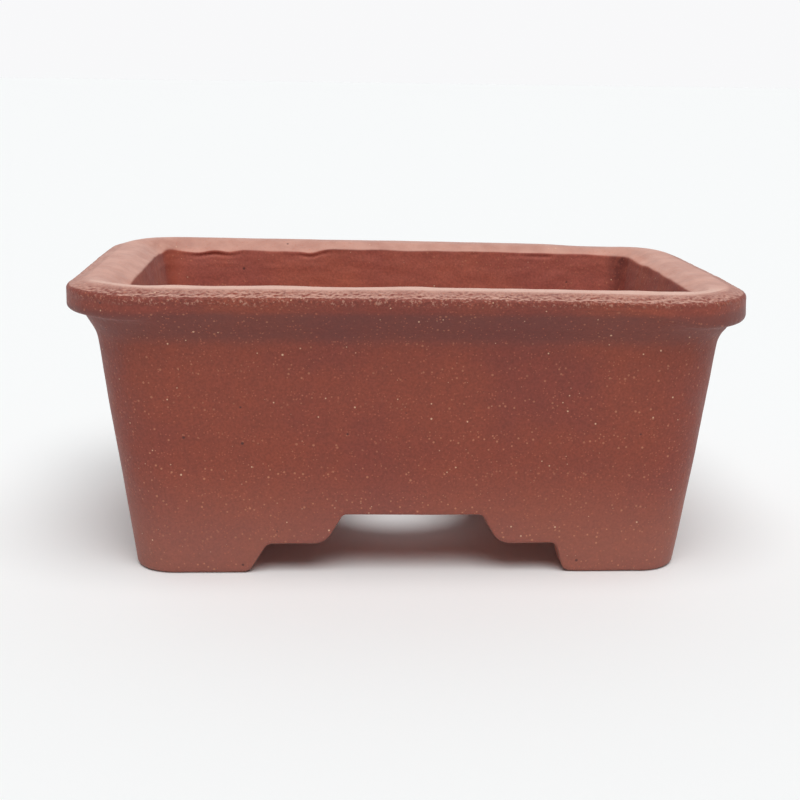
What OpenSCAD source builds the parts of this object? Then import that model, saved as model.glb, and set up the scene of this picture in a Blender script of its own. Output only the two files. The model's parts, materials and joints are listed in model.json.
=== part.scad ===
// Small rectangular bonsai pot, slab built in unglazed stoneware.
// Four walls lean outwards from cut feet to a hollow neck, and a band of four mitred strips
// closes the top. Millimetres, +Z up, origin on the ground under the middle of the pot,
// X along the long side, front wall towards -Y.

/* [Overall] */
// Length over the rim band
pot_length = 120; // [110:1:150]
// Width over the rim band
pot_width = 82; // [76:1:110]
// Height to the top of the rim band
pot_height = 52; // [48:0.5:65]
// Plan radius of the rim band's outer corners
corner_radius = 18; // [17.5:0.5:22]

/* [Walls] */
// Horizontal thickness of a wall slab
wall_thickness = 6.5; // [5:0.1:6.8]
// How far the foot stands in from the rim's outer face
foot_inset = 10.5; // [8:0.1:10.6]
// How far the neck stands in from the rim's outer face
neck_inset = 4.6; // [3.5:0.1:6]
// Depth of the neck below the top of the rim
neck_depth = 8.5; // [8:0.5:11]
// Radius of the hollow under the rim band
neck_radius = 5; // [2:0.5:5]
// Radius of the lower outer edge
foot_edge_radius = 1; // [0.2:0.1:1.5]

/* [Rim band] */
// Thickness of a rim strip
rim_thickness = 5.4; // [4:0.1:6]
// How far a rim strip overhangs the wall that it is laid on
rim_overhang = 2; // [1.5:0.1:3]
// Fall of the rim's sloping shoulder
shoulder_drop = 1.2; // [0.5:0.1:1.3]
// Width of the rim's sloping shoulder
shoulder_width = 3.5; // [3:0.1:5]

/* [Foot openings] */
// Height of the tall middle of the opening
opening_height = 11.3; // [9:0.1:11.5]
// Height of the low step on each side of the middle
step_height = 5.6; // [4:0.1:6]
// Half width of the middle at its top
arch_top_half = 11.8; // [10:0.1:13]
// Half width of the middle where it meets the step
arch_base_half = 15; // [14.8:0.1:17]
// Half width of the step
step_half = 25.8; // [25:0.1:27]
// Half width of the opening on the ground
gap_half = 29; // [28.5:0.1:31]
// Width of a short side's opening as a share of a long side's
short_side_share = 0.6; // [0.55:0.01:0.65]

/* [Floor] */
// Height of the floor slab's underside
floor_underside = 12; // [11.6:0.1:14]
// Thickness of the floor slab
floor_thickness = 5; // [4:0.1:7]
// Diameter of the drain hole in the middle
drain_d = 20; // [10:0.5:24]
// Diameter of a tie wire hole
wire_d = 4; // [2:0.5:5]
// Distance between the tie wire holes along the pot
wire_spacing_x = 64; // [62:1:72]
// Distance between the tie wire holes across the pot
wire_spacing_y = 26; // [20:1:34]

/* [Seam coils] */
// Leg of the coil pressed into an upright inner corner
corner_coil_leg = 2.4; // [1.5:0.1:3]
// Leg of the coil pressed in along the floor
floor_coil_leg = 3; // [2:0.1:3.5]

/* [Hidden] */
$fn = 96;
clay = [0.50, 0.25, 0.20];
rim_clay = [0.66, 0.43, 0.37];
coil_clay = [0.56, 0.30, 0.22];

neck_height = pot_height - neck_depth;
seam_height = pot_height - rim_thickness;
floor_top = floor_underside + floor_thickness;
lean = (foot_inset - neck_inset) / neck_height;
lip_rise = 0.3;
lower_lip_radius = 0.9;
upper_lip_radius = 1.2;
shoulder_radius = 3;
inner_edge_radius = 1.8;
arch_top_radius = 0.8;
arch_base_radius = 4;
step_radius = 1.2;
past = 5;
arc_step = 9;

// A side is [half its straight length, distance from the middle to its corner axes]. Both
// mitre planes of a side pass through its upright corner axes at 45 degrees.
axis_x = pot_length / 2 - corner_radius;
axis_y = pot_width / 2 - corner_radius;
long_side = [axis_x, axis_y];
short_side = [axis_y, axis_x];

// How far a wall's inner face stands in from the rim's outer face, at height z
function inner_inset(z) = foot_inset + wall_thickness - lean * z;

// Corners given as [x, y, radius] become a polygon's points, with an arc at each radius
function unit(v) = v / norm(v);
function arc(before, here, after, radius) =
    let (a = unit(before - here),
         b = unit(after - here),
         half = acos(a * b) / 2,
         centre = here + unit(a + b) * radius / sin(half),
         start = here + a * radius / tan(half) - centre,
         sweep = (cross(a, b) > 0 ? -1 : 1) * (180 - 2 * half),
         steps = ceil(abs(sweep) / arc_step))
    [for (i = [0:steps])
        let (t = sweep * i / steps)
        centre + [start.x * cos(t) - start.y * sin(t), start.x * sin(t) + start.y * cos(t)]];
function flat(corner) = [corner.x, corner.y];
function rounded(corners) =
    let (n = len(corners))
    [for (i = [0:n - 1])
        let (before = flat(corners[(i + n - 1) % n]),
             here = flat(corners[i]),
             after = flat(corners[(i + 1) % n]),
             radius = corners[i].z)
        each (radius == 0 ? [here] : arc(before, here, after, radius))];

// Outer faces from bottom to top, as [distance out from the rim's outer face, height, radius]
wall_face = [[-foot_inset, 0, foot_edge_radius],
             [-neck_inset, neck_height, neck_radius],
             [-rim_overhang, seam_height, 0]];
rim_face = [[-rim_overhang, seam_height, 0],
            [0, seam_height + lip_rise, lower_lip_radius],
            [0, pot_height - shoulder_drop, upper_lip_radius],
            [-shoulder_width, pot_height, shoulder_radius]];

// Extrudes a section (distance out, height) along X, on the side that faces -Y
module along(side, length, section) {
    translate([0, -side[1] - corner_radius, 0])
        rotate([90, 0, 90])
            linear_extrude(length, center = true)
                polygon([for (p = section) [-p.x, p.y]]);
}

// Turns a section an eighth of a circle round a side's corner axis, up to the mitre plane
module round_corner(side, hand, section) {
    translate([hand * side[0], -side[1], 0])
        rotate(hand > 0 ? -90 : -135)
            rotate_extrude(angle = 45)
                polygon([for (p = section) [corner_radius + p.x, p.y]]);
}

// A slab or strip that faces -Y: straight between the corner axes, round in the corners,
// flat on its inner face, and mitred at both ends
module mitred_member(side, bottom, top, face, edge_radius) {
    inner_top = [-inner_inset(top), top, edge_radius];
    inner_bottom = [-inner_inset(bottom), bottom, 0];
    outside_inner_face = [inner_bottom, [past, bottom, 0], [past, top, 0], inner_top];
    to_corner_axis = concat([[-corner_radius, bottom, 0]], face, [[-corner_radius, top, 0]]);
    along(side, 2 * side[0], rounded(concat([inner_bottom], face, [inner_top])));
    intersection() {
        along(side, pot_length, rounded(outside_inner_face));
        for (hand = [-1, 1])
            round_corner(side, hand, rounded(to_corner_axis));
    }
}

// Cutter for the stepped opening in the bottom edge of a wall
module foot_opening(side, share) {
    half = [[arch_top_half * share, opening_height, arch_top_radius],
            [arch_base_half * share, step_height, arch_base_radius * share],
            [step_half * share, step_height, step_radius],
            [gap_half * share, 0, 0],
            [gap_half * share, -past, 0]];
    other_half = [for (i = [len(half) - 1:-1:0]) [-half[i].x, half[i].y, half[i].z]];
    translate([0, -side[1], 0])
        rotate([90, 0, 0])
            linear_extrude(corner_radius + past)
                polygon(rounded(concat(half, other_half)));
}

module wall(side, share) {
    color(clay)
        difference() {
            mitred_member(side, 0, seam_height, wall_face, 0);
            foot_opening(side, share);
        }
}

module rim_strip(side) {
    color(rim_clay)
        mitred_member(side, seam_height, pot_height, rim_face, inner_edge_radius);
}

// The space inside one pair of opposite inner wall faces
module between_walls(side, length, bottom, top) {
    along_middle = [for (z = [bottom, top]) [corner_radius + side[1] - inner_inset(z), z]];
    rotate([90, 0, 90])
        linear_extrude(length, center = true)
            polygon([along_middle[0],
                     along_middle[1],
                     [-along_middle[1].x, along_middle[1].y],
                     [-along_middle[0].x, along_middle[0].y]]);
}

module inside(bottom, top) {
    intersection() {
        between_walls(long_side, pot_length, bottom, top);
        rotate(90)
            between_walls(short_side, pot_length, bottom, top);
    }
}

module floor_slab() {
    color(clay)
        difference() {
            inside(floor_underside, floor_top);
            translate([0, 0, floor_underside - past])
                cylinder(h = floor_thickness + 2 * past, d = drain_d);
            for (x = [-1, 1], y = [-1, 1])
                translate([x * wire_spacing_x / 2, y * wire_spacing_y / 2, floor_underside - past])
                    cylinder(h = floor_thickness + 2 * past, d = wire_d);
        }
}

// The plan of a side between its two mitre planes, from z = 0 up
module between_mitres(side) {
    reach = corner_radius;
    linear_extrude(pot_height)
        polygon([[side[0] - reach, reach - side[1]],
                 [side[0] + reach, -reach - side[1]],
                 [-side[0] - reach, -reach - side[1]],
                 [reach - side[0], reach - side[1]]]);
}

// Everything beyond the slanted face of the coil in the corner towards +X and -Y
module beyond_corner_coil() {
    // Distance out along the corner's diagonal to the slanted face, at height z
    function diagonal(z) =
        (pot_length / 2 + pot_width / 2 - 2 * inner_inset(z) - corner_coil_leg) / sqrt(2);
    rotate([90, 0, 45])
        linear_extrude(pot_length, center = true)
            polygon([[diagonal(0), 0],
                     [diagonal(pot_height), pot_height],
                     [pot_length, pot_height],
                     [pot_length, 0]]);
}

// Three-sided coil along the seam of the floor and a wall, mitred to its neighbours and
// ending against the corner coils
module floor_coil(side) {
    coil_top = floor_top + floor_coil_leg;
    section = [[-inner_inset(floor_top), floor_top],
               [-inner_inset(coil_top), coil_top],
               [-inner_inset(floor_top) - floor_coil_leg, floor_top]];
    color(coil_clay)
        difference() {
            intersection() {
                along(side, pot_length, section);
                between_mitres(side);
            }
            beyond_corner_coil();
            mirror([1, 0, 0])
                beyond_corner_coil();
        }
}

// Three-sided coil up the seam of two walls, from the floor to the rim strips
module corner_coil(x_hand, y_hand) {
    color(coil_clay)
        intersection() {
            inside(floor_top, seam_height);
            mirror([x_hand < 0 ? 1 : 0, 0, 0])
                mirror([0, y_hand > 0 ? 1 : 0, 0])
                    beyond_corner_coil();
        }
}

floor_slab();
wall(long_side, 1);  // front_wall
rotate(180) wall(long_side, 1);  // back_wall
rotate(-90) wall(short_side, short_side_share);  // left_wall
rotate(90) wall(short_side, short_side_share);  // right_wall
rim_strip(long_side);  // rim_front
rotate(180) rim_strip(long_side);  // rim_back
rotate(-90) rim_strip(short_side);  // rim_left
rotate(90) rim_strip(short_side);  // rim_right
floor_coil(long_side);  // floor_coil_front
rotate(180) floor_coil(long_side);  // floor_coil_back
rotate(-90) floor_coil(short_side);  // floor_coil_left
rotate(90) floor_coil(short_side);  // floor_coil_right
corner_coil(-1, -1);  // corner_coil_front_left
corner_coil(1, -1);  // corner_coil_front_right
corner_coil(-1, 1);  // corner_coil_back_left
corner_coil(1, 1);  // corner_coil_back_right
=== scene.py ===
"""Slab-built bonsai pot in unglazed red-brown stoneware.

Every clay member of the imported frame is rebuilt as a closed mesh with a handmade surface. Walls
and rim strips share one section, and all relief depends only on the place in space, so the
surface runs on unbroken over the luted seams. Lengths are in millimetres until the meshes are
made, and then in metres.
"""
import json
import math

import bpy
import numpy as np
from mathutils import Matrix, Vector


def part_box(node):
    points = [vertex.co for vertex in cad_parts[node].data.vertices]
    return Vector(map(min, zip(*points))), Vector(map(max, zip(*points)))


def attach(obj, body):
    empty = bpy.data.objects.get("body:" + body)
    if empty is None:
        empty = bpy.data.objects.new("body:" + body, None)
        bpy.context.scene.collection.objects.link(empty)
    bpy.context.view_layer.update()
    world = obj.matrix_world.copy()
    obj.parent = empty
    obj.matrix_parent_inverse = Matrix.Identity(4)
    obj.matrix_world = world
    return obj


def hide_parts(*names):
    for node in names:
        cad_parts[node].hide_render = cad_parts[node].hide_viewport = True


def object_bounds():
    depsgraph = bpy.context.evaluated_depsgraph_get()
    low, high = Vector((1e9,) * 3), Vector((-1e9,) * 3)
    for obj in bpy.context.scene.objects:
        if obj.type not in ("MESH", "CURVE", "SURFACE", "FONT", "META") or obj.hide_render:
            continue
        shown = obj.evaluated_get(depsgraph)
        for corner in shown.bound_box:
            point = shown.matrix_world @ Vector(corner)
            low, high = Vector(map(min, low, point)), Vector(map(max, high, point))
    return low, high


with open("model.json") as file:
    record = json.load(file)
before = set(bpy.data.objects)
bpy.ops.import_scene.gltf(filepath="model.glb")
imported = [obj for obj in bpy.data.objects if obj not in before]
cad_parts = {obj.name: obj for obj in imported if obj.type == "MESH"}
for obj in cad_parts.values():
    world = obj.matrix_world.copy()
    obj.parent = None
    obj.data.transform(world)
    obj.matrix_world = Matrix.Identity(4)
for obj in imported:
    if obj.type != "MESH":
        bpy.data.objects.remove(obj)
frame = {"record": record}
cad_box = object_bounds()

MM = 0.001

# ---------------------------------------------------------------- sizes, from the frame
HALF_LENGTH = cad_box[1][0] / MM
HALF_WIDTH = cad_box[1][1] / MM
HEIGHT = cad_box[1][2] / MM
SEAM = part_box("rim_front")[0][2] / MM
FLOOR_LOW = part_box("floor_slab")[0][2] / MM
FLOOR_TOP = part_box("floor_slab")[1][2] / MM
HOLES = [(m["pos_m"][0] / MM, m["pos_m"][1] / MM, m["dims"]["r_mm"])
         for m in frame["record"]["mounts"] if m["kind"] == "bore"]

# ---------------------------------------------------------------- sizes of the section
# Insets are measured inwards from the rim's outer face
CORNER_R = 18.0
FOOT_INSET = 10.5
NECK_INSET = 4.6
NECK_Z = HEIGHT - 8.5
NECK_R = 8.5
WALL = 6.5
LEAN = (FOOT_INSET - NECK_INSET) / NECK_Z
OVERHANG = 2.0
SHOULDER = 3.5
SHOULDER_DROP = 1.25
TOP_INSET = SHOULDER + 1.5      # on the rim's flat top
LIP_Z = HEIGHT - 1.3            # the rim's inner edge, lower than its crest
FOOT_EDGE = 0.9
INNER_EDGE = 0.6
INNER_CORNER_R = 1.0
COIL_LEG = 4.2
FLOOR_COIL_LEG = 3.0

# Stepped opening in the bottom edge of a long wall
ARCH_Z = 11.3
STEP_Z = 5.6
OPENING_END = 29.3

AXIS_X = HALF_LENGTH - CORNER_R
AXIS_Y = HALF_WIDTH - CORNER_R

# Sides in order round the pot: turn from the front in degrees, half straight length, distance
# of the corner axes, share of the openings' width
SIDES = {
    "front": (0.0, AXIS_X, AXIS_Y, 1.0),
    "right": (90.0, AXIS_Y, AXIS_X, 0.6),
    "back": (180.0, AXIS_X, AXIS_Y, 1.0),
    "left": (-90.0, AXIS_Y, AXIS_X, 0.6),
}

# ---------------------------------------------------------------- fineness of the meshes
WALL_SPACING = {"front": 0.34, "right": 0.42, "back": 0.42, "left": 0.42}
RIM_SPACING = {"front": 0.22, "right": 0.32, "back": 0.3, "left": 0.32}
COIL_SPACING = 0.5
WALL_ROWS = 72
EDGE_ROWS = 5
COIL_ROWS = 12
FLOOR_CELL = 0.8


# ---------------------------------------------------------------- noise and masks
NOISE_TABLE = 512


def lattice_noise(points, cell, seed):
    """Smooth gradient noise of about -1 to 1 whose lumps are about cell across."""
    rng = np.random.default_rng(seed)
    table = rng.permutation(NOISE_TABLE)
    slopes = rng.normal(size=(NOISE_TABLE, 3))
    slopes /= np.linalg.norm(slopes, axis=1)[:, None]
    place = np.asarray(points) / cell + 37.3
    corner = np.floor(place).astype(int)
    inside = place - corner
    fade = inside ** 3 * (inside * (inside * 6 - 15) + 10)
    total = 0.0
    for dx in (0, 1):
        for dy in (0, 1):
            for dz in (0, 1):
                key = 0
                for step in (corner[..., 0] + dx, corner[..., 1] + dy, corner[..., 2] + dz):
                    key = table[(key + step) % NOISE_TABLE]
                offset = inside - (dx, dy, dz)
                weight = np.abs(1 - dx - fade[..., 0])
                weight = weight * np.abs(1 - dy - fade[..., 1])
                weight = weight * np.abs(1 - dz - fade[..., 2])
                total = total + weight * np.einsum("...i,...i->...", slopes[key], offset)
    return total * 1.6


def bell(distance, width):
    """1 at distance 0, falling smoothly to nearly 0 at two widths."""
    return np.exp(-(distance / width) ** 2)


def ramp(value, low, high):
    """0 below low, 1 above high, smooth between."""
    t = np.clip((value - low) / (high - low), 0, 1)
    return t * t * (3 - 2 * t)


# ---------------------------------------------------------------- section
def rounded_path(corners, step):
    """Open path through (across, height, radius) corners, in points about step apart."""
    pts = []
    for i, (across, height, radius) in enumerate(corners):
        here = np.array([across, height])
        if radius == 0:
            pts.append(here)
            continue
        a = np.array(corners[i - 1][:2]) - here
        b = np.array(corners[i + 1][:2]) - here
        a /= np.linalg.norm(a)
        b /= np.linalg.norm(b)
        half = math.acos(a @ b) / 2
        centre = here + (a + b) / np.linalg.norm(a + b) * radius / math.sin(half)
        start = here + a * radius / math.tan(half) - centre
        sweep = math.copysign(math.pi - 2 * half, -(a[0] * b[1] - a[1] * b[0]))
        for t in np.linspace(0, sweep, 12):
            turn = np.array([[math.cos(t), -math.sin(t)], [math.sin(t), math.cos(t)]])
            pts.append(centre + turn @ start)
    pts = np.array(pts)
    length = np.concatenate([[0], np.cumsum(np.linalg.norm(np.diff(pts, axis=0), axis=1))])
    even = np.linspace(0, length[-1], max(2, round(length[-1] / step) + 1))
    return np.stack([np.interp(even, length, pts[:, k]) for k in (0, 1)], axis=1)


def path_normals(path):
    """Normals to the left of an (inset, z) path, as (outward, up)."""
    tangent = np.gradient(path, axis=0)
    normal = np.stack([-tangent[:, 1], -tangent[:, 0]], axis=1)
    return normal / np.linalg.norm(normal, axis=1)[:, None]


def inner_inset(z):
    return FOOT_INSET + WALL - LEAN * z


def opening_outline(share):
    """Bottom edge of a wall as an (along, height) path from its left end to its right end."""
    half = [(9.0, ARCH_Z, 0),
            (12.4, ARCH_Z, 1.0),
            (15.6, STEP_Z, 3.6),
            (25.9, STEP_Z, 1.7),
            (OPENING_END, 0.0, 2.2),
            (42.0, 0.0, 0)]
    path = rounded_path(half, step=0.05)
    along = np.concatenate([-path[::-1, 0], path[:, 0]]) * share
    height = np.concatenate([path[::-1, 1], path[:, 1]])
    return along, height


def side_columns(side, spacing):
    """Columns of one side between its mitre planes: place along the straight part, the share
    of the corner turned from -1 at one mitre to 1 at the other, and the bottom edge's height."""
    _, straight, _, share = SIDES[side]
    along, height = opening_outline(share)
    if side == "front":
        # The cut sits a little to the right, and its right end is steeper
        along = along + 0.5 - 1.4 * bell(along - OPENING_END, 2.2)
    keep = np.abs(along) < straight
    along = np.concatenate([[-straight], along[keep], [straight]])
    height = np.concatenate([[0], height[keep], [0]])
    # Columns closer together where the bottom edge is steep
    length = np.concatenate([[0], np.cumsum(np.hypot(np.diff(along), 0.7 * np.diff(height)))])
    even = np.linspace(0, length[-1], round(length[-1] / spacing) + 1)
    # An eighth of a turn, on an arc a little tighter than the rim's
    corner_count = round(CORNER_R * 0.8 * math.pi / 4 / spacing)
    turned = np.linspace(0, 1, corner_count + 1)[1:]
    ends = np.zeros(corner_count)
    middle = np.interp(even, length, along)
    return {
        "along": np.concatenate([ends - straight, middle, ends + straight]),
        "turned": np.concatenate([-turned[::-1], 0 * middle, turned]),
        "bottom": np.concatenate([ends, np.interp(even, length, height), ends]),
    }


def outer_point(side, columns, inset, z):
    """Point at an inset from the outer face, rounded round the corner axes, and the outward
    direction there."""
    _, straight, axis, _ = SIDES[side]
    angle = columns["turned"][None, :] * math.pi / 4
    radius = CORNER_R - inset
    x = columns["along"][None, :] + radius * np.sin(angle)
    out = axis + radius * np.cos(angle)
    flat = 0 * x
    direction = np.stack([np.sin(angle) + flat, np.cos(angle) + flat, flat], axis=-1)
    return np.stack([x + flat, out + flat, z + flat], axis=-1), direction


def inner_point(side, columns, inset, z, corner_r):
    """Point at an inset from the outer face, flat with a small inner corner radius, and the
    outward direction there."""
    _, straight, axis, _ = SIDES[side]
    turned = columns["turned"][None, :]
    share = np.abs(turned)
    face = axis + CORNER_R - inset
    end = face + straight - axis
    stop = end - (1 - math.sqrt(0.5)) * corner_r
    x_abs = straight + share * (stop - straight)
    bend = np.clip((x_abs - (end - corner_r)) / corner_r, 0, 1)
    out = face - corner_r * (1 - np.sqrt(1 - bend ** 2))
    x = np.where(share > 0, np.sign(turned) * x_abs, columns["along"][None, :])
    flat = 0 * x
    direction = np.stack([np.sign(turned) * bend + flat, np.sqrt(1 - bend ** 2) + flat, flat],
                         axis=-1)
    return np.stack([x + flat, out + flat, z + flat], axis=-1), direction


def to_world(side, vectors):
    """Local (along, outwards, up) to the pot's frame."""
    angle = math.radians(SIDES[side][0])
    along = np.array([math.cos(angle), math.sin(angle), 0])
    outwards = np.array([math.sin(angle), -math.cos(angle), 0])
    up = np.array([0, 0, 1.0])
    return vectors[..., :1] * along + vectors[..., 1:2] * outwards + vectors[..., 2:] * up


# ---------------------------------------------------------------- handmade form
def outer_distance(p):
    """Inset of a point from the pot's outer face at its widest."""
    x = np.abs(p[..., 0]) - AXIS_X
    y = np.abs(p[..., 1]) - AXIS_Y
    return CORNER_R - np.where((x > 0) & (y > 0), np.hypot(x, y), np.maximum(x, y))


def hand_bends(p):
    """Slow bends of the whole pot from handling, as a shift of each point."""
    x, y, z = p[..., 0], p[..., 1], p[..., 2]
    upper = ramp(z, 42, 50)
    at_front = ramp(-y, 22, 36)
    at_back = ramp(y, 22, 36)
    # The left end stands higher and the right end lower, both more so towards the back
    high = np.clip((z - 30) / 20, 0, 1)
    reach = np.clip(np.abs(x) / HALF_LENGTH, 0, 1.2) ** 3
    back = np.clip((y / HALF_WIDTH + 1) / 2, 0, 1)
    left = 0.85 + 0.55 * back
    right = -0.15 - 0.15 * back
    rise = np.where(x < 0, left, right) * reach * high
    # The long sides are crowned left of the middle, and the back one sags near its right end
    rise = rise + 0.60 * upper * at_front * bell(x + 12, 46)
    rise = rise + 0.30 * upper * at_back * bell(x + 22, 26)
    rise = rise - 0.58 * upper * at_back * bell(x - 44, 8.5)
    # The rim's left front corner is pulled out, its right one pushed in, and its right side bows
    flare = -0.45 * upper * bell(x + 58, 9) * bell(y + 32, 9)
    flare = flare - 0.4 * upper * bell(x - 58, 9) * bell(y + 33, 8)
    bow = 0.5 * upper * ramp(x, 40, 56) * bell(y - 2, 22)
    # The right wall bellies a little
    belly = 0.38 * bell(z - 16, 18) * ramp(x, 20, 45)
    return np.stack([flare + bow + belly, 0.5 * flare * np.sign(-x), rise], axis=-1)


# Finger dents that pull the back rim's inner lip down
BACK_DENTS = [
    {"x": -42.5, "width": 2.6, "depth": 0.6},
    {"x": -36.0, "width": 2.2, "depth": 0.45},
    {"x": -18.3, "width": 2.0, "depth": 0.55},
]


def lip_drop(p):
    """How far the rim's inner lip is pressed down."""
    x, y = p[..., 0], p[..., 1]
    at_back = ramp(y, 20, 30)
    drop = 0.55 * at_back * ramp(-x, 14, 24)
    for dent in BACK_DENTS:
        drop = drop + dent["depth"] * at_back * bell(x - dent["x"], dent["width"])
    # It rises in the left back corner, and falls at the right and along the left
    drop = drop - 0.9 * bell(x + 49.5, 2.6) * bell(y - 31, 3.0)
    drop = drop + 0.5 * ramp(x, 40, 49) * bell(y - 22, 12)
    drop = drop + ramp(-x, 40, 49) * (0.4 + 0.4 * ramp(-y, 4, 20) + 0.4 * ramp(y, 14, 28))
    return drop + 0.22 * lattice_noise(p * (1, 1, 0.2), 7, 21)


def rim_waves(p):
    """Shift of the rim's inner lip and lower edge where fingers pressed the clay."""
    x, y, z = p[..., 0], p[..., 1], p[..., 2]
    inset = outer_distance(p)
    inner = ramp(inset, 5.0, 9.0) * ramp(z, 46.8, 49.5)
    outer = 1 - ramp(inset, 3.6, 5.6)
    # The band's lower edge is wiped back into the neck along the front, in one long ogee
    wiped = ramp(-y, 20, 34) * (1 - ramp(x, 34, 50)) * (1 - ramp(-x, 36, 50))
    ogee = 2.5 * (1 - ramp(inset, 0, 2.6)) - 0.5 * bell(inset - 2.9, 0.9)
    wipe = wiped * ogee * (1 - ramp(z, 46.5, 51.6))
    # The band hangs lower at the right
    hang = -0.6 * outer * bell(z - 46.2, 1.6) * ramp(x, 38, 54)
    # The neck is fuller at the left and right ends
    full = 0.3 * bell(z - 44.5, 2.5) * outer * ramp(np.abs(x), 40, 52) * np.sign(x)
    return np.stack([full, 0 * x, wipe + hang - inner * lip_drop(p)], axis=-1)


def relief(p, rough):
    """Height of the worked clay surface above the true form; rough is 0 on the wiped outside
    and 1 on the inside."""
    d = 0.13 * lattice_noise(p, 26, 3)
    d += 0.06 * lattice_noise(p, 9, 4)
    d += (0.022 + 0.05 * rough) * lattice_noise(p, 3.2, 5)
    d += (0.010 + 0.012 * rough) * lattice_noise(p, 1.3, 6)
    # Marks dragged along the inner walls
    d += 0.08 * rough * lattice_noise(p * (0.35, 0.35, 1.0), 1.8, 7)
    return d - crack(p)


def crack(p):
    """Depth of the dragged crack under the inner lip of the back rim."""
    x, y, z = p[..., 0], p[..., 1], p[..., 2]
    under = bell(z - (LIP_Z - 0.75), 0.4) * ramp(outer_distance(p), 8.0, 9.5) * ramp(y, 20, 30)
    reach = bell(x + 39.5, 4.5) + 0.8 * bell(x + 18.5, 3.0) + 0.5 * bell(x - 30, 3.0)
    return 0.45 * under * (reach + 0.25 * ramp(lattice_noise(p * (1, 1, 0.3), 4, 23), 0.1, 0.6))


def crumbs(p):
    """Height of the torn, crumbly clay along the outer shoulder of the rim, strongest at the
    front."""
    shoulder_z = HEIGHT - SHOULDER_DROP + 0.15
    edge = bell(p[..., 2] - shoulder_z, 0.8) * (1 - ramp(outer_distance(p), 1.8, 3.6))
    front = 0.30 + 0.70 * ramp(-p[..., 1], 28, 38)
    torn = np.abs(lattice_noise(p, 1.2, 31)) - 0.35
    bits = lattice_noise(p, 0.55, 32)
    wave = lattice_noise(p, 4.0, 33)
    return edge * front * (0.12 * torn + 0.15 * bits + 0.08 * wave)


def shaped(side, points, normals, rough):
    """World points of a skin after waves, crumbs, relief and the bends of the whole pot."""
    p = to_world(side, points)
    n = to_world(side, normals)
    n = n / np.linalg.norm(n, axis=-1)[..., None]
    height = relief(p, rough) + crumbs(p)
    return p + rim_waves(p) + n * height[..., None] + hand_bends(p)


# ---------------------------------------------------------------- meshes
def grid_faces(rows, cols):
    """Quads between neighbouring points of a rows x cols grid whose last row joins the first."""
    index = np.arange(rows * cols).reshape(rows, cols)
    index = np.concatenate([index, index[:1]])
    quads = np.stack([index[:-1, :-1], index[:-1, 1:], index[1:, 1:], index[1:, :-1]], axis=-1)
    return quads.reshape(-1, 4)


def signed_volume(verts, quads):
    """Six times the volume inside the quads, negative when they face inwards."""
    a, b, c, d = (verts[quads[:, k]] for k in range(4))
    return (np.einsum("ij,ij->i", a, np.cross(b, c))
            + np.einsum("ij,ij->i", a, np.cross(c, d))).sum()


def make_piece(name, verts, faces, hidden, node):
    """A mesh object in metres. Edges between hidden and visible faces are sharp, so a seam's
    hidden faces don't shade the visible ones."""
    mesh = bpy.data.meshes.new(name)
    mesh.from_pydata((np.asarray(verts) * MM).tolist(), [], [list(map(int, f)) for f in faces])
    mesh.polygons.foreach_set("use_smooth", [True] * len(mesh.polygons))
    loop_edge = np.empty(len(mesh.loops), dtype=int)
    mesh.loops.foreach_get("edge_index", loop_edge)
    sizes = np.empty(len(mesh.polygons), dtype=int)
    mesh.polygons.foreach_get("loop_total", sizes)
    flag = np.repeat(np.asarray(hidden, dtype=int), sizes)
    low = np.ones(len(mesh.edges), dtype=int)
    high = np.zeros(len(mesh.edges), dtype=int)
    np.minimum.at(low, loop_edge, flag)
    np.maximum.at(high, loop_edge, flag)
    sharp = mesh.attributes.new("sharp_edge", "BOOLEAN", "EDGE")
    sharp.data.foreach_set("value", low != high)
    piece = bpy.data.objects.new(name, mesh)
    bpy.context.collection.objects.link(piece)
    mesh.materials.append(CLAY)
    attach(piece, "root")
    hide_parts(node)


def swept_piece(name, loops, hidden_strips, node):
    """Closed solid from a rows x columns grid whose rows close into a loop, capped at its first
    and last column. hidden_strips are the strips, by first row, that lie inside the pot."""
    rows, cols = loops.shape[:2]
    verts = loops.reshape(-1, 3)
    quads = grid_faces(rows, cols)
    hidden = np.isin(np.repeat(np.arange(rows), cols - 1), hidden_strips).tolist()
    first = [r * cols for r in range(rows)]
    last = [r * cols + cols - 1 for r in range(rows)]
    faces = quads.tolist()
    if signed_volume(verts, quads) < 0:
        faces = [f[::-1] for f in faces] + [first[::-1], last]
    else:
        faces = faces + [first, last[::-1]]
    make_piece(name, verts, faces, hidden + [True, True], node)


def welded(patches):
    """Vertices and quads from (rows, columns, 3) patches, joined where their points meet."""
    corners = []
    for patch in patches:
        corners.append(np.stack([patch[:-1, :-1], patch[:-1, 1:], patch[1:, 1:], patch[1:, :-1]],
                                axis=2).reshape(-1, 4, 3))
    corners = np.concatenate(corners)
    verts, index = np.unique(np.round(corners.reshape(-1, 3), 4), axis=0, return_inverse=True)
    return verts, index.reshape(-1, 4)


def vertex_normals(verts, quads):
    """Unit normals from the quads round each vertex, weighted by their area."""
    face = np.cross(verts[quads[:, 2]] - verts[quads[:, 0]], verts[quads[:, 3]] - verts[quads[:, 1]])
    total = np.zeros_like(verts)
    for k in range(4):
        np.add.at(total, quads[:, k], face)
    return total / np.maximum(np.linalg.norm(total, axis=1), 1e-9)[:, None]


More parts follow.
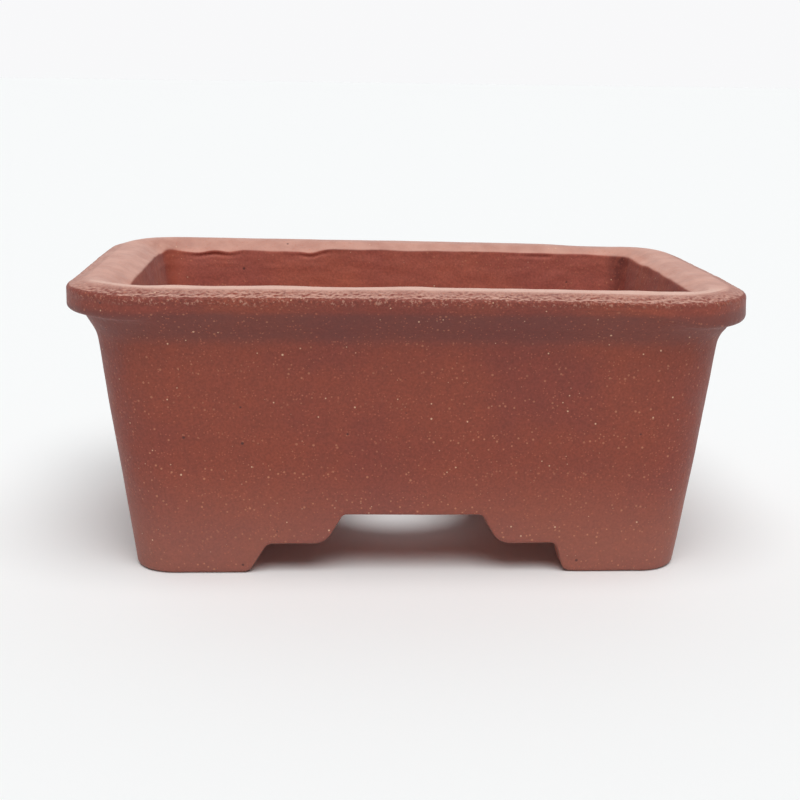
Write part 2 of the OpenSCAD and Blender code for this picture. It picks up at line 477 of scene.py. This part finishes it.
# ---------------------------------------------------------------- clay material
CLAY_MID = (0.250, 0.054, 0.034)
CLOUD_DARK_GAIN = (0.93, 0.93, 1.02)
CLOUD_WARM_GAIN = (1.05, 1.06, 0.99)
MOTTLE_GAIN = (1.10, 1.12, 1.10)
# Painted light: brightens the inner faces for the light falling on the inner walls, partly paler
# clay
INSIDE_PAINTED_LIGHT_GAIN = (1.6, 1.98, 2.1)
SLIP_LEFT = (0.39, 0.095, 0.058)
# Plum slip up the right inner corners, darkened partly as painted shade in those corners
SLIP_RIGHT_AND_SHADE = (0.20, 0.053, 0.042)
# Darker plum for the neck under the rim's overhang, partly painted shade
NECK_PLUM_AND_SHADE = (0.125, 0.043, 0.040)
# Painted sheen on the up-facing rim top; also the pale tint towards the foot
TOP_SHEEN_FOOT_PALE = (0.76, 0.43, 0.34)
# Painted highlight along the flat crest of the front rim
CREST_HIGHLIGHT = (0.95, 0.66, 0.54)
TORN_CRUMB = (0.72, 0.42, 0.31)
# Painted shade in the hollows of the torn shoulder
TORN_HOLLOW_SHADE = (0.15, 0.04, 0.03)
SHEEN_TINT = (0.95, 0.92, 0.92)

# Where masks begin and end: heights, insets and depths in millimetres, x and y in metres
INSIDE_DEPTH = (12.2, 13.4)
INSIDE_END = (50.2, 51.2)
CORNER_SLIP = (2.6, 6.4)
MIDDLE_X = (-0.02, 0.02)
NECK_START = (42.0, 45.0)
NECK_END = (48.2, 49.6)
TOP_START = (49.0, 50.4)
MOUTH_INSET = (3.0, 4.5)
BACK_Y = (0.022, 0.034)
RIDGE_START = (50.6, 51.6)
RIDGE_Y = (-0.032, -0.027)
PALE_FOOT_END = (1.0, 24.0)
TORN_START = (50.0, 50.8)
TORN_INSET = (2.6, 4.2)
TORN_Y = (-0.040, -0.030)
TAN_THINS = (8.0, 48.0)

# Grog grains: spacing and largest radius in millimetres, the share of places that have one,
# and how strongly its colour shows
GROG = {
    "faint": {"spacing": 0.5, "radius": 0.17, "share": 0.5, "strength": 0.42,
              "colour": (0.56, 0.16, 0.09)},
    "tan": {"spacing": 0.85, "radius": 0.22, "share": 0.62, "strength": 0.7,
            "colour": (0.62, 0.25, 0.14)},
    "cream": {"spacing": 1.5, "radius": 0.18, "share": 0.45, "strength": 0.85,
              "colour": (0.80, 0.52, 0.34)},
    "iron": {"spacing": 3.2, "radius": 0.30, "share": 0.35, "strength": 0.7,
             "colour": (0.045, 0.022, 0.024)},
}


class Nodes:
    """Short calls for building a shader tree."""

    def __init__(self, tree):
        self.tree = tree

    def add(self, kind, inputs=None, **settings):
        node = self.tree.nodes.new(kind)
        for key, value in settings.items():
            setattr(node, key, value)
        for key, value in (inputs or {}).items():
            if isinstance(value, bpy.types.NodeSocket):
                self.tree.links.new(value, node.inputs[key])
            else:
                node.inputs[key].default_value = value
        return node

    def math(self, operation, a, b=0.0):
        return self.add("ShaderNodeMath", {0: a, 1: b}, operation=operation).outputs[0]

    def times(self, first, *others):
        product = first
        for factor in others:
            product = self.math("MULTIPLY", product, factor)
        return product

    def noise(self, place, size, detail=2.0, roughness=0.5):
        """Noise of 0 to 1 whose lumps are about size millimetres across."""
        return self.add("ShaderNodeTexNoise",
                        {"Vector": place, "Scale": 1 / (size * MM), "Detail": detail,
                         "Roughness": roughness}).outputs["Fac"]

    def span(self, value, low, high, to_low=0.0, to_high=1.0):
        """Smooth change from to_low to to_high as value goes from low to high."""
        return self.add("ShaderNodeMapRange",
                        {"Value": value, "From Min": low, "From Max": high, "To Min": to_low,
                         "To Max": to_high}, interpolation_type="SMOOTHSTEP").outputs["Result"]

    def mix(self, factor, a, b, blend="MIX"):
        node = self.add("ShaderNodeMix", data_type="RGBA", blend_type=blend)
        for socket, value in ((0, factor), (6, a), (7, b)):
            if isinstance(value, bpy.types.NodeSocket):
                self.tree.links.new(value, node.inputs[socket])
            elif socket == 0:
                node.inputs[0].default_value = value
            else:
                node.inputs[socket].default_value = (*value, 1)
        return node.outputs[2]

    def specks(self, place, spacing, radius, share, seed):
        """Mask of round specks: one cell in every spacing millimetres, of which a share has a
        speck of up to radius millimetres."""
        shift = (seed * 0.37, seed * 0.11, seed * 0.23)
        moved = self.add("ShaderNodeVectorMath", {0: place, 1: shift}, operation="ADD").outputs[0]
        cells = self.add("ShaderNodeTexVoronoi", {"Vector": moved, "Scale": 1 / (spacing * MM)})
        pick = self.add("ShaderNodeSeparateColor", {0: cells.outputs["Color"]})
        size = self.math("MULTIPLY", pick.outputs[1], radius / spacing)
        near = self.math("SUBTRACT", size, cells.outputs["Distance"])
        inside = self.span(near, -0.25 * radius / spacing, 0.25 * radius / spacing)
        return self.math("MULTIPLY", inside, self.math("LESS_THAN", pick.outputs[0], share))


def past_axis(n, coordinate, axis):
    """Millimetres past the corner axes, on either side of the middle."""
    from_middle = n.math("ABSOLUTE", n.math("MULTIPLY", coordinate, 1 / MM))
    return n.math("SUBTRACT", from_middle, axis)


class Place:
    """Where on the pot a shaded point lies: point, x and y in metres; height, past_x, past_y
    and inset in millimetres; up, the upward part of the normal; and the mask inside."""

    def __init__(self, n):
        self.point = n.add("ShaderNodeTexCoord").outputs["Object"]
        apart = n.add("ShaderNodeSeparateXYZ", {0: self.point})
        self.x = apart.outputs["X"]
        self.y = apart.outputs["Y"]
        self.height = n.math("MULTIPLY", apart.outputs["Z"], 1 / MM)
        normal = n.add("ShaderNodeTexCoord").outputs["Normal"]
        self.up = n.add("ShaderNodeSeparateXYZ", {0: normal}).outputs["Z"]
        self.past_x = past_axis(n, self.x, AXIS_X)
        self.past_y = past_axis(n, self.y, AXIS_Y)
        self.inset = self.outer_inset(n)
        depth = n.math("ADD", self.inset, n.math("MULTIPLY", self.height, LEAN))
        self.inside = n.times(n.span(depth, *INSIDE_DEPTH), n.span(self.height, *INSIDE_END, 1, 0))

    def outer_inset(self, n):
        """The same distance as outer_distance."""
        round_x = n.math("POWER", n.math("MAXIMUM", self.past_x, 0.0), 2.0)
        round_y = n.math("POWER", n.math("MAXIMUM", self.past_y, 0.0), 2.0)
        flat = n.math("MINIMUM", n.math("MAXIMUM", self.past_x, self.past_y), 0.0)
        reach = n.math("ADD", n.math("SQRT", n.math("ADD", round_x, round_y)), flat)
        return n.math("SUBTRACT", CORNER_R, reach)


def fired_body(n, at, mottle):
    """Clay colour with slow clouds of plum and orange, mottling and grain."""
    dark = tuple(c * gain for c, gain in zip(CLAY_MID, CLOUD_DARK_GAIN))
    warm = tuple(c * gain for c, gain in zip(CLAY_MID, CLOUD_WARM_GAIN))
    colour = n.mix(n.span(n.noise(at.point, 22, 3), 0.35, 0.65), dark, warm)
    paler = n.mix(1.0, colour, MOTTLE_GAIN, "MULTIPLY")
    colour = n.mix(n.span(mottle, 0.3, 0.7), colour, paler)
    shade = n.span(n.noise(at.point, 0.45, 3, 0.6), 0.25, 0.75, 0.84, 1.14)
    grey = n.add("ShaderNodeCombineColor", {0: shade, 1: shade, 2: shade}).outputs[0]
    return n.mix(1.0, colour, grey, "MULTIPLY")


def painted_light_inside_and_slip(n, at, colour):
    """Inside paler: partly clay where no hand has smoothed it, partly painted light standing in
    for the light on the inner walls; with slip smeared up the inner corners, orange at the
    left and plum at the right, the plum partly painted shade."""
    colour = n.mix(at.inside, colour, n.mix(1.0, colour, INSIDE_PAINTED_LIGHT_GAIN, "MULTIPLY"))
    corner = n.times(n.span(n.math("MINIMUM", at.past_x, at.past_y), *CORNER_SLIP), at.inside)
    slip = n.mix(n.span(at.x, *MIDDLE_X), SLIP_LEFT, SLIP_RIGHT_AND_SHADE)
    smear = n.span(n.noise(at.point, 2.2, 3, 0.6), 0.25, 0.6, 0.35, 1.0)
    return n.mix(n.times(corner, smear), colour, slip)


def neck_plum_and_painted_shade(n, at, colour):
    """Darker plum on the neck under the rim's overhang: partly the clay's own colour, partly painted
    shade.
    """
    neck = n.times(n.span(at.height, *NECK_START), n.span(at.height, *NECK_END, 1, 0))
    neck = n.times(neck, n.math("SUBTRACT", 1.0, at.inside), 0.52)
    return n.mix(neck, colour, NECK_PLUM_AND_SHADE)


def top_mask(n, at):
    """Mask of the rim's top and inner lip."""
    crest = n.span(at.up, 0.87, 1.0)
    mouth = n.times(n.span(at.up, 0.35, 0.85), n.span(at.inset, *MOUTH_INSET))
    return n.times(n.math("MAXIMUM", crest, mouth), n.span(at.height, *TOP_START))


def painted_top_sheen(n, at, colour, top):
    """Uneven painted sheen on top of the rim, with a painted highlight along the front crest."""
    top_sheen = n.span(n.noise(at.point, 5, 3, 0.6), 0.3, 0.7, 0.62, 0.84)
    top_sheen = n.times(top_sheen, n.span(at.y, *BACK_Y, 1.0, 0.84))
    colour = n.mix(n.times(top, top_sheen), colour, TOP_SHEEN_FOOT_PALE)
    ridge = n.times(n.span(at.up, 0.975, 0.998), n.span(at.y, *RIDGE_Y, 1, 0))
    ridge = n.times(ridge, n.span(at.height, *RIDGE_START), 0.42)
    return n.mix(ridge, colour, CREST_HIGHLIGHT)


def paler_foot(n, at, colour):
    # Paler towards the bottom of the outside
    foot_pale = n.times(n.span(at.height, *PALE_FOOT_END, 0.13, 0.0), n.math("SUBTRACT", 1.0, at.inside))
    return n.mix(foot_pale, colour, TOP_SHEEN_FOOT_PALE)


def torn_mask(n, at):
    """Mask of the rim's torn outer shoulder, strongest at the front."""
    torn = n.times(n.span(at.height, *TORN_START), n.span(at.inset, *TORN_INSET, 1, 0))
    return n.times(torn, n.span(at.y, *TORN_Y, 1.0, 0.35))


def torn_clay(n, colour, crumb, torn):
    """Pale crumbs, and painted shade darkening the hollows of the torn shoulder."""
    pale = n.times(n.span(crumb, 0.54, 0.64), torn, 0.40)
    hollow_shade = n.times(n.span(crumb, 0.38, 0.46, 1, 0), torn, 0.45)
    return n.mix(hollow_shade, n.mix(pale, colour, TORN_CRUMB), TORN_HOLLOW_SHADE)


def grog_masks(n, at):
    """Mask of each kind of grain. The tan ones thin out in patches and towards the rim."""
    masks = {}
    for seed, (name, grain) in enumerate(GROG.items(), 1):
        masks[name] = n.specks(at.point, grain["spacing"], grain["radius"], grain["share"], seed)
    patches = n.span(n.noise(at.point, 14, 2), 0.32, 0.6, 0.35, 1.0)
    masks["tan"] = n.times(masks["tan"], n.times(patches, n.span(at.height, *TAN_THINS, 1.0, 0.6)))
    return masks


def clay_bumps(n, at, grog, crumb, torn):
    """Height in metres of pits, lumps, proud grains and torn crumbs."""
    pit_height = n.span(at.inside, 0.0, 1.0, 0.10 * MM, 0.04 * MM)
    pits = n.times(n.noise(at.point, 0.7, 4, 0.65), pit_height)
    lumps = n.times(n.noise(at.point, 2.4, 2, 0.5), 0.10 * MM)
    grains = n.times(n.math("ADD", grog["tan"], grog["cream"]), 0.03 * MM)
    crumbs_height = n.times(crumb, torn, 0.30 * MM)
    return n.math("ADD", n.math("ADD", pits, lumps), n.math("ADD", grains, crumbs_height))


def clay_material():
    """Unglazed stoneware: matt, drier inside, a little smoother on the rubbed top."""
    material = bpy.data.materials.new("clay")
    material.use_nodes = True
    n = Nodes(material.node_tree)
    at = Place(n)
    mottle = n.noise(at.point, 3.5, 4, 0.6)
    crumb = n.noise(at.point, 0.55, 3, 0.65)
    top = top_mask(n, at)
    torn = torn_mask(n, at)
    grog = grog_masks(n, at)

    colour = fired_body(n, at, mottle)
    colour = painted_light_inside_and_slip(n, at, colour)
    colour = neck_plum_and_painted_shade(n, at, colour)
    colour = painted_top_sheen(n, at, colour, top)
    colour = paler_foot(n, at, colour)
    colour = torn_clay(n, colour, crumb, torn)
    for name, grain in GROG.items():
        colour = n.mix(n.times(grog[name], grain["strength"]), colour, grain["colour"])

    rough = n.math("SUBTRACT", n.span(mottle, 0.2, 0.8, 0.54, 0.68), n.times(top, 0.12))
    rough = n.math("ADD", rough, n.times(at.inside, 0.22))
    bump = n.add("ShaderNodeBump", {"Height": clay_bumps(n, at, grog, crumb, torn),
                                    "Distance": 1.0, "Strength": 1.0})

    shader = material.node_tree.nodes["Principled BSDF"]
    n.tree.links.new(colour, shader.inputs["Base Color"])
    n.tree.links.new(rough, shader.inputs["Roughness"])
    n.tree.links.new(bump.outputs[0], shader.inputs["Normal"])
    shader.inputs["Specular IOR Level"].default_value = 0.35
    shader.inputs["Sheen Weight"].default_value = 0.09
    shader.inputs["Sheen Roughness"].default_value = 0.35
    shader.inputs["Sheen Tint"].default_value = (*SHEEN_TINT, 1)
    return material


CLAY = clay_material()


# ---------------------------------------------------------------- walls and rim strips
# Outer section of the pot as (inset, z), from the rim's flat top down to a height from which
# the wall is straight
STRAIGHT_Z = 30.0
BAND = rounded_path([(TOP_INSET, HEIGHT, 0),
                     (SHOULDER, HEIGHT, 4.0),
                     (0.0, HEIGHT - SHOULDER_DROP, 0.8),
                     (0.0, SEAM + 0.3, 0.9),
                     (OVERHANG + 0.6, SEAM, 1.6),
                     (NECK_INSET, NECK_Z, NECK_R),
                     (FOOT_INSET - LEAN * STRAIGHT_Z, STRAIGHT_Z, 0)], step=0.25)
SEAM_ROW = int(np.argmin(np.hypot(BAND[:, 0] - OVERHANG, BAND[:, 1] - SEAM)))
BAND_NORMAL = path_normals(BAND)


def column(values):
    return np.asarray(values, dtype=float)[:, None]


def tilted(direction, out, up):
    """Normals from outward directions tilted to (out, up)."""
    return direction * out[..., None] + np.array([0, 0, 1.0]) * up[..., None]


def wall_outside(side, columns):
    """Points and normals of a wall's outer face: below the rim the rows of the section, then
    rows that close up towards the bottom edge."""
    bottom = columns["bottom"][None, :]
    flat = 0 * bottom
    path = BAND[SEAM_ROW:]
    share = column(np.linspace(0, 1, WALL_ROWS)[1:])
    z = np.concatenate([column(path[:, 1]) + flat,
                        path[-1, 1] + share * (bottom + FOOT_EDGE - path[-1, 1])])
    inset = np.concatenate([column(path[:, 0]) + flat, FOOT_INSET - LEAN * z[len(path):]])
    up = np.concatenate([column(BAND_NORMAL[SEAM_ROW:, 1]) + flat, flat - LEAN + 0 * share])
    out = np.concatenate([column(BAND_NORMAL[SEAM_ROW:, 0]) + flat, flat + 1 + 0 * share])
    points, direction = outer_point(side, columns, inset, z)
    return points, tilted(direction, out, up)


def wall_outer_edge(side, columns):
    """Points and normals of the rounded outer bottom edge."""
    bottom = columns["bottom"][None, :]
    flat = 0 * bottom
    swing = column(np.linspace(0, math.pi / 2, EDGE_ROWS + 1)[1:])
    z = bottom + FOOT_EDGE * (1 - np.sin(swing))
    inset = FOOT_INSET - LEAN * (bottom + FOOT_EDGE) + FOOT_EDGE * (1 - np.cos(swing))
    points, direction = outer_point(side, columns, inset, z)
    return points, tilted(direction, np.cos(swing) + flat, -np.sin(swing) + flat)


def wall_inner_edge(side, columns):
    """Points and normals of the rounded inner bottom edge."""
    bottom = columns["bottom"][None, :]
    flat = 0 * bottom
    swing = column(np.linspace(math.pi / 2, 0, EDGE_ROWS))
    z = bottom + INNER_EDGE * (1 - np.sin(swing))
    inset = inner_inset(bottom + INNER_EDGE) - INNER_EDGE * (1 - np.cos(swing))
    points, direction = inner_point(side, columns, inset, z, INNER_CORNER_R)
    return points, tilted(direction, -np.cos(swing) + flat, -np.sin(swing) + flat)


def wall_sole(start, end):
    """Points and normals of the bottom edge's flat, between its rounded edges."""
    share = column(np.linspace(0, 1, 15)[1:-1])[..., None]
    points = start + share * (end - start)
    return points, np.zeros_like(points) - (0, 0, 1.0)


def wall_inside(side, columns):
    """Points and normals of a wall's inner face, from its bottom edge past the floor's
    underside up to the rim strips."""
    bottom = columns["bottom"][None, :]
    start = bottom + INNER_EDGE
    share = column(np.linspace(0, 1, 10)[1:])
    below = bottom + INNER_EDGE + share * (FLOOR_LOW - bottom - INNER_EDGE)
    above = column(np.linspace(FLOOR_LOW, SEAM, WALL_ROWS)[1:]) + 0 * start
    z = np.concatenate([below, above])
    points, direction = inner_point(side, columns, inner_inset(z), z, INNER_CORNER_R)
    return points, -direction


def wall_piece(side):
    """Section loops of a wall: down the outside, under the bottom edge, up the inside."""
    columns = side_columns(side, WALL_SPACING[side])
    outer_edge = wall_outer_edge(side, columns)
    inner_edge = wall_inner_edge(side, columns)
    sole = wall_sole(outer_edge[0][-1], inner_edge[0][0])
    parts = [(*wall_outside(side, columns), 0.0), (*outer_edge, 0.0), (*sole, 0.7),
             (*inner_edge, 0.7), (*wall_inside(side, columns), 1.0)]
    points = np.concatenate([p for p, _, _ in parts])
    normals = np.concatenate([normal for _, normal, _ in parts])
    rough = np.concatenate([np.full((len(p), 1), r) for p, _, r in parts])
    loops = shaped(side, points, normals, rough)
    # The feet stand on the ground
    loops[..., 2] = np.maximum(loops[..., 2], 0.0)
    swept_piece(f"clay_{side}_wall", loops, [loops.shape[0] - 1], f"{side}_wall")


def rim_piece(side):
    """Section loops of a rim strip: up the inside, over the domed top, down the band."""
    columns = side_columns(side, RIM_SPACING[side])
    lip = inner_inset(LIP_Z)
    inner = rounded_path([(inner_inset(SEAM), SEAM, 0),
                          (lip, LIP_Z, 0.7),
                          (lip - 2.8, HEIGHT, 3.0),
                          (TOP_INSET, HEIGHT, 0)], step=0.24)
    path = np.concatenate([inner[:-1], BAND[:SEAM_ROW + 1]])
    normal = path_normals(path)
    inset, z = column(path[:, 0]), column(path[:, 1])
    outer, out_dir = outer_point(side, columns, inset, z)
    square, square_dir = inner_point(side, columns, inset, z, COIL_LEG)
    # From the square inner corner to the round outer one over the width of the top
    blend = np.clip((inner_inset(SEAM) - path[:, 0]) / (inner_inset(SEAM) - SHOULDER), 0, 1)
    blend = column(blend)[..., None]
    points = square + (outer - square) * blend
    direction = square_dir + (out_dir - square_dir) * blend
    flat = np.zeros((1, points.shape[1]))
    normals = tilted(direction, column(normal[:, 0]) + flat, column(normal[:, 1]) + flat)
    rough = ramp(inset, lip - 1.5, lip)
    loops = shaped(side, points, normals, rough)
    swept_piece(f"clay_rim_{side}", loops, [loops.shape[0] - 1], f"rim_{side}")


# ---------------------------------------------------------------- floor and coils
FLOOR_TUCK = 0.6        # how far the floor's edge reaches into the walls
HOLE_MARGIN = 2.4       # from a hole's wall to the square of cells round it
HOLE_EDGE = 0.9


def floor_piece():
    """Floor slab with softly rounded drain and tie wire holes, on a grid of square cells that
    gives way to rings round each hole."""
    reach_x = round((HALF_LENGTH - inner_inset(FLOOR_TOP) + FLOOR_TUCK) / FLOOR_CELL)
    reach_y = round((HALF_WIDTH - inner_inset(FLOOR_TOP) + FLOOR_TUCK) / FLOOR_CELL)
    xs = np.arange(-reach_x, reach_x + 1) * FLOOR_CELL
    ys = np.arange(-reach_y, reach_y + 1) * FLOOR_CELL
    free = np.ones((len(xs) - 1, len(ys) - 1), dtype=bool)
    patches = []
    for x, y, radius in HOLES:
        half = math.ceil((radius + HOLE_MARGIN) / FLOOR_CELL)
        i = int(round(x / FLOOR_CELL)) + reach_x
        j = int(round(y / FLOOR_CELL)) + reach_y
        free[i - half:i + half, j - half:j + half] = False
        square = closed_ring(xs[i - half:i + half + 1], ys[j - half:j + half + 1])
        patches.append(hole_rings(square, x, y, radius))
    patches += floor_cells(xs, ys, free)
    edge = closed_ring(xs, ys)
    patches.append(np.stack([np.column_stack([edge, np.full(len(edge), z)])
                             for z in (FLOOR_LOW, FLOOR_TOP)]))
    verts, quads = welded(patches)
    height = relief(verts, 1.0) + 0.08 * lattice_noise(verts, 6, 41)
    points = verts + vertex_normals(verts, quads) * height[:, None]
    make_piece("clay_floor_slab", points, quads, [False] * len(quads), "floor_slab")


def closed_ring(xs, ys):
    """Grid points round the edge of a rectangle, back to the first one."""
    ring = [(x, ys[0]) for x in xs[:-1]] + [(xs[-1], y) for y in ys[:-1]]
    ring += [(x, ys[-1]) for x in xs[:0:-1]] + [(xs[0], y) for y in ys[::-1]]
    return np.array(ring)


def floor_cells(xs, ys, free):
    """Free cells of the floor's top and underside."""
    cells = []
    for i, j in np.argwhere(free):
        for z, turn in ((FLOOR_TOP, 1), (FLOOR_LOW, -1)):
            cell = np.array([[[xs[i], ys[j], z], [xs[i + 1], ys[j], z]],
                             [[xs[i], ys[j + 1], z], [xs[i + 1], ys[j + 1], z]]])
            cells.append(cell[:, ::turn])
    return cells


def hole_rings(square, x, y, radius):
    """Rings from a square of cells on the floor's top, down through the hole and out to the
    same square on its underside."""
    spoke = square - (x, y)
    spoke = spoke / np.linalg.norm(spoke, axis=1)[:, None]
    mouth = (x, y) + spoke * (radius + HOLE_EDGE)
    quarter = np.linspace(0, math.pi / 2, EDGE_ROWS + 1)
    profile = [(radius + HOLE_EDGE * (1 - math.sin(a)), FLOOR_TOP - HOLE_EDGE * (1 - math.cos(a)))
               for a in quarter]
    profile += [(radius, z)
                for z in np.linspace(FLOOR_TOP - HOLE_EDGE, FLOOR_LOW + HOLE_EDGE, 7)[1:-1]]
    profile += [(radius + HOLE_EDGE * (1 - math.cos(a)), FLOOR_LOW + HOLE_EDGE * (1 - math.sin(a)))
                for a in quarter]

    def level(plan, z):
        return np.column_stack([plan, np.full(len(plan), z)])

    rings = [level(square + t * (mouth - square), FLOOR_TOP) for t in np.linspace(0, 1, 5)[:-1]]
    rings += [level((x, y) + spoke * r, z) for r, z in profile]
    rings += [level(square + t * (mouth - square), FLOOR_LOW) for t in np.linspace(1, 0, 5)[1:]]
    return np.stack(rings)


def floor_coil_piece(side):
    """Smoothed coil along the seam of the floor and a wall."""
    columns = side_columns(side, COIL_SPACING)
    leg = FLOOR_COIL_LEG
    swing = np.linspace(0, math.pi / 2, COIL_ROWS)
    away = leg * (1 - np.sin(swing))
    height = FLOOR_TOP + leg * (1 - np.cos(swing))
    # The edges dip under the floor and the wall, and the back lies inside the clay
    away = np.concatenate([[leg + 0.2], away, [-0.3, -0.5, leg]])
    height = np.concatenate([[FLOOR_TOP - 0.3], height,
                             [height[-1] + 0.3, FLOOR_TOP - 0.8, FLOOR_TOP - 0.8]])
    inset = column(inner_inset(height) + away)
    corner_r = column(np.maximum(COIL_LEG - away, 0.3))
    points, direction = inner_point(side, columns, inset, column(height), corner_r)
    shift = 0.09 * lattice_noise(to_world(side, points), 2.6, 51)
    normals = -direction + (0, 0, 1.0)
    loops = shaped(side, points, normals, 1.0) + to_world(side, normals) * shift[..., None]
    hidden = range(len(away) - 4, len(away))
    swept_piece(f"clay_floor_coil_{side}", loops, hidden, f"floor_coil_{side}")


def corner_coil_piece(x_hand, y_hand):
    """Smoothed coil up the seam of two walls."""
    leg = COIL_LEG
    z = np.arange(FLOOR_TOP, SEAM + 0.01, (SEAM - FLOOR_TOP) / WALL_ROWS)
    swing = np.linspace(0, math.pi / 2, COIL_ROWS)
    # Measured from the two wall faces into the pot, with the back inside the clay
    from_side = np.concatenate([[leg + 0.3], leg * (1 - np.sin(swing)), [-0.25, -0.6]])
    from_end = np.concatenate([[-0.25], leg * (1 - np.cos(swing)), [leg + 0.3, -0.6]])
    half_x = HALF_LENGTH - inner_inset(z)
    half_y = HALF_WIDTH - inner_inset(z)
    x = x_hand * (half_x[None, :] - from_side[::-1, None])
    y = y_hand * (half_y[None, :] - from_end[::-1, None])
    points = np.stack([x, y, z[None, :] + 0 * x], axis=-1)
    bend = np.concatenate([[0.0], swing, [math.pi / 2, math.pi / 4]])[::-1, None]
    normals = np.stack([-x_hand * np.sin(bend) + 0 * x, -y_hand * np.cos(bend) + 0 * x, 0 * x],
                       axis=-1)
    height = relief(points, 1.0)
    loops = points + rim_waves(points) + normals * height[..., None] + hand_bends(points)
    name = f"corner_coil_{'back' if y_hand > 0 else 'front'}_{'right' if x_hand > 0 else 'left'}"
    swept_piece(f"clay_{name}", loops, [0, 1, len(from_side) - 2, len(from_side) - 1], name)


for side in SIDES:
    wall_piece(side)
    rim_piece(side)
    floor_coil_piece(side)
for x_hand in (-1, 1):
    for y_hand in (-1, 1):
        corner_coil_piece(x_hand, y_hand)
floor_piece()


# ---------------------------------------------------------------- stage, light and camera
STAGE_HALF = 30.0               # metres
STAGE_COLOUR = (0.915, 0.93, 0.93)
ROOM_COLOUR = (0.99, 0.99, 1.0)
ROOM_BRIGHT = 0.65              # behind the pot
ROOM_DIM = 0.17                 # in front of it
ROOM_SEEN = 0.95                # as the backdrop
SUN_TOWARDS = (0.06, -0.46, 1.0)
SUN_ANGLE = 52                  # degrees across, for soft shadows
SUN_ENERGY = 2.55

CAMERA_PLACE = (-13.77, -263.45, 86.92)
CAMERA_YAW = 2.896              # degrees to the right
CAMERA_PITCH = 13.234           # degrees down
CAMERA_ROLL = 0.783             # degrees
CAMERA_LENS = 61.45
CAMERA_SENSOR = 36


def stage_floor():
    half = STAGE_HALF
    verts = [(-half, -half, 0), (half, -half, 0), (half, half, 0), (-half, half, 0)]
    mesh = bpy.data.meshes.new("stage_floor")
    mesh.from_pydata(verts, [], [(0, 1, 2, 3)])
    floor = bpy.data.objects.new("stage_floor", mesh)
    bpy.context.collection.objects.link(floor)
    material = bpy.data.materials.new("stage_white")
    material.use_nodes = True
    shader = material.node_tree.nodes["Principled BSDF"]
    shader.inputs["Base Color"].default_value = (*STAGE_COLOUR, 1)
    shader.inputs["Roughness"].default_value = 0.9
    shader.inputs["Specular IOR Level"].default_value = 0.1
    mesh.materials.append(material)


def studio_light():
    """Broad light from above and the front, a little to the right, in a white room that is
    brightest behind the pot."""
    world = bpy.data.worlds.new("studio")
    bpy.context.scene.world = world
    world.use_nodes = True
    n = Nodes(world.node_tree)
    way = n.add("ShaderNodeSeparateXYZ", {0: n.add("ShaderNodeTexCoord").outputs["Generated"]})
    room = n.span(way.outputs["Y"], -0.1, 0.8, ROOM_DIM, ROOM_BRIGHT)
    seen = n.add("ShaderNodeLightPath").outputs["Is Camera Ray"]
    strength = n.add("ShaderNodeMix", {0: seen, 2: room, 3: ROOM_SEEN}).outputs[0]
    background = world.node_tree.nodes["Background"]
    background.inputs["Color"].default_value = (*ROOM_COLOUR, 1)
    world.node_tree.links.new(strength, background.inputs["Strength"])
    light = bpy.data.lights.new("overhead", "SUN")
    light.angle = math.radians(SUN_ANGLE)
    light.energy = SUN_ENERGY
    lamp = bpy.data.objects.new("overhead", light)
    lamp.rotation_euler = (-Vector(SUN_TOWARDS)).to_track_quat("-Z", "Y").to_euler()
    bpy.context.collection.objects.link(lamp)


def photo_camera():
    """Camera at the photograph's angle, from a fit of the pot's outline."""
    data = bpy.data.cameras.new("camera")
    data.sensor_width = CAMERA_SENSOR
    data.lens = CAMERA_LENS
    data.clip_start = 0.01
    camera = bpy.data.objects.new("camera", data)
    yaw, pitch, roll = (math.radians(a) for a in (CAMERA_YAW, CAMERA_PITCH, CAMERA_ROLL))
    forward = Vector((math.sin(yaw) * math.cos(pitch), math.cos(yaw) * math.cos(pitch),
                      -math.sin(pitch)))
    level = Vector((math.cos(yaw), -math.sin(yaw), 0))
    above = level.cross(forward)
    right = math.cos(roll) * level + math.sin(roll) * above
    up = -math.sin(roll) * level + math.cos(roll) * above
    turn = Matrix((right, up, -forward)).transposed().to_4x4()
    camera.matrix_world = Matrix.Translation(Vector(CAMERA_PLACE) * MM) @ turn
    bpy.context.collection.objects.link(camera)
    bpy.context.scene.camera = camera


bpy.context.scene.view_settings.view_transform = "Standard"
stage_floor()
studio_light()
photo_camera()
